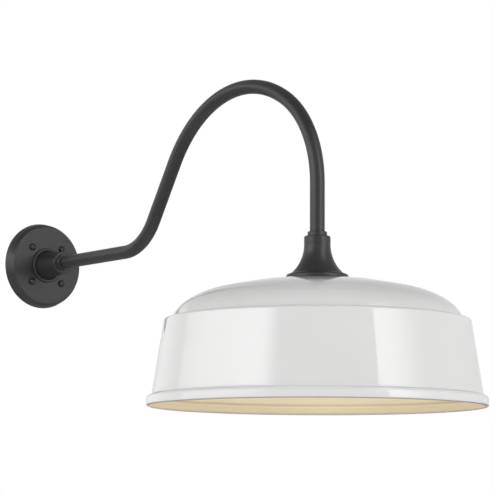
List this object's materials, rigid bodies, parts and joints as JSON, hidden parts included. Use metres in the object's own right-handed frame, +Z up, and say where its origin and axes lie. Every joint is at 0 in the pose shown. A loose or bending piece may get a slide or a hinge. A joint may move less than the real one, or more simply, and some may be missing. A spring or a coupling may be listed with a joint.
{
  "type": "gooseneck wall light",
  "caption": "Wall light: a round plate and hub carry a bent gooseneck tube that drops to a bell fitter and a deep round shade with a tapered band and domed top over a screw-in lamp.",
  "frame": {"origin": "centre of the plate's screw circle, on the wall plane", "axes": "+Y into the wall and -Y out along the arm, +Z up, +X to the right of someone facing the wall"},
  "size_m": [0.4292, 0.8923, 0.4414],
  "materials": {
    "seal_rubber": "matte",
    "grey_paint": "satin",
    "black_screw": "gloss",
    "green_screw": "gloss",
    "zinc_steel": "satin",
    "black_insulation": "satin",
    "white_insulation": "satin",
    "white_enamel": "gloss",
    "porcelain": "gloss",
    "contact_brass": "satin",
    "lamp_aluminium": "satin",
    "black_insulator": "gloss",
    "lamp_plastic": "matte",
    "lamp_diffuser": "matte"
  },
  "bodies": {
    "fixture": {"wall_gasket": "seal_rubber", "wall_plate": "grey_paint", "plate_screws": "black_screw", "ground_screw": "green_screw", "arm_hub": "grey_paint", "hub_set_screw": "zinc_steel", "arm_washer": "zinc_steel", "arm_locknut": "zinc_steel", "gooseneck_tube": "grey_paint", "line_lead": "black_insulation", "neutral_lead": "white_insulation", "fitter_bell": "grey_paint", "bell_set_screw": "zinc_steel", "tube_plug": "zinc_steel", "fitter_nipple": "zinc_steel", "shade_gasket": "seal_rubber", "shade": "white_enamel", "backing_plate": "zinc_steel", "nipple_washer": "zinc_steel", "nipple_nut": "zinc_steel", "socket_cap": "porcelain", "socket_body": "porcelain", "socket_shell": "contact_brass", "socket_contact": "contact_brass", "terminal_screws": "contact_brass"},
    "lamp": {"lamp_cap": "lamp_aluminium", "lamp_insulator": "black_insulator", "lamp_contact": "contact_brass", "lamp_housing": "lamp_plastic", "lamp_globe": "lamp_diffuser"}
  },
  "joints": [
    {"name": "lamp_unscrew", "type": "slide", "parent": "fixture", "child": "lamp", "axis": [0, 0, -1], "range_m": [0, 0.025]}
  ]
}
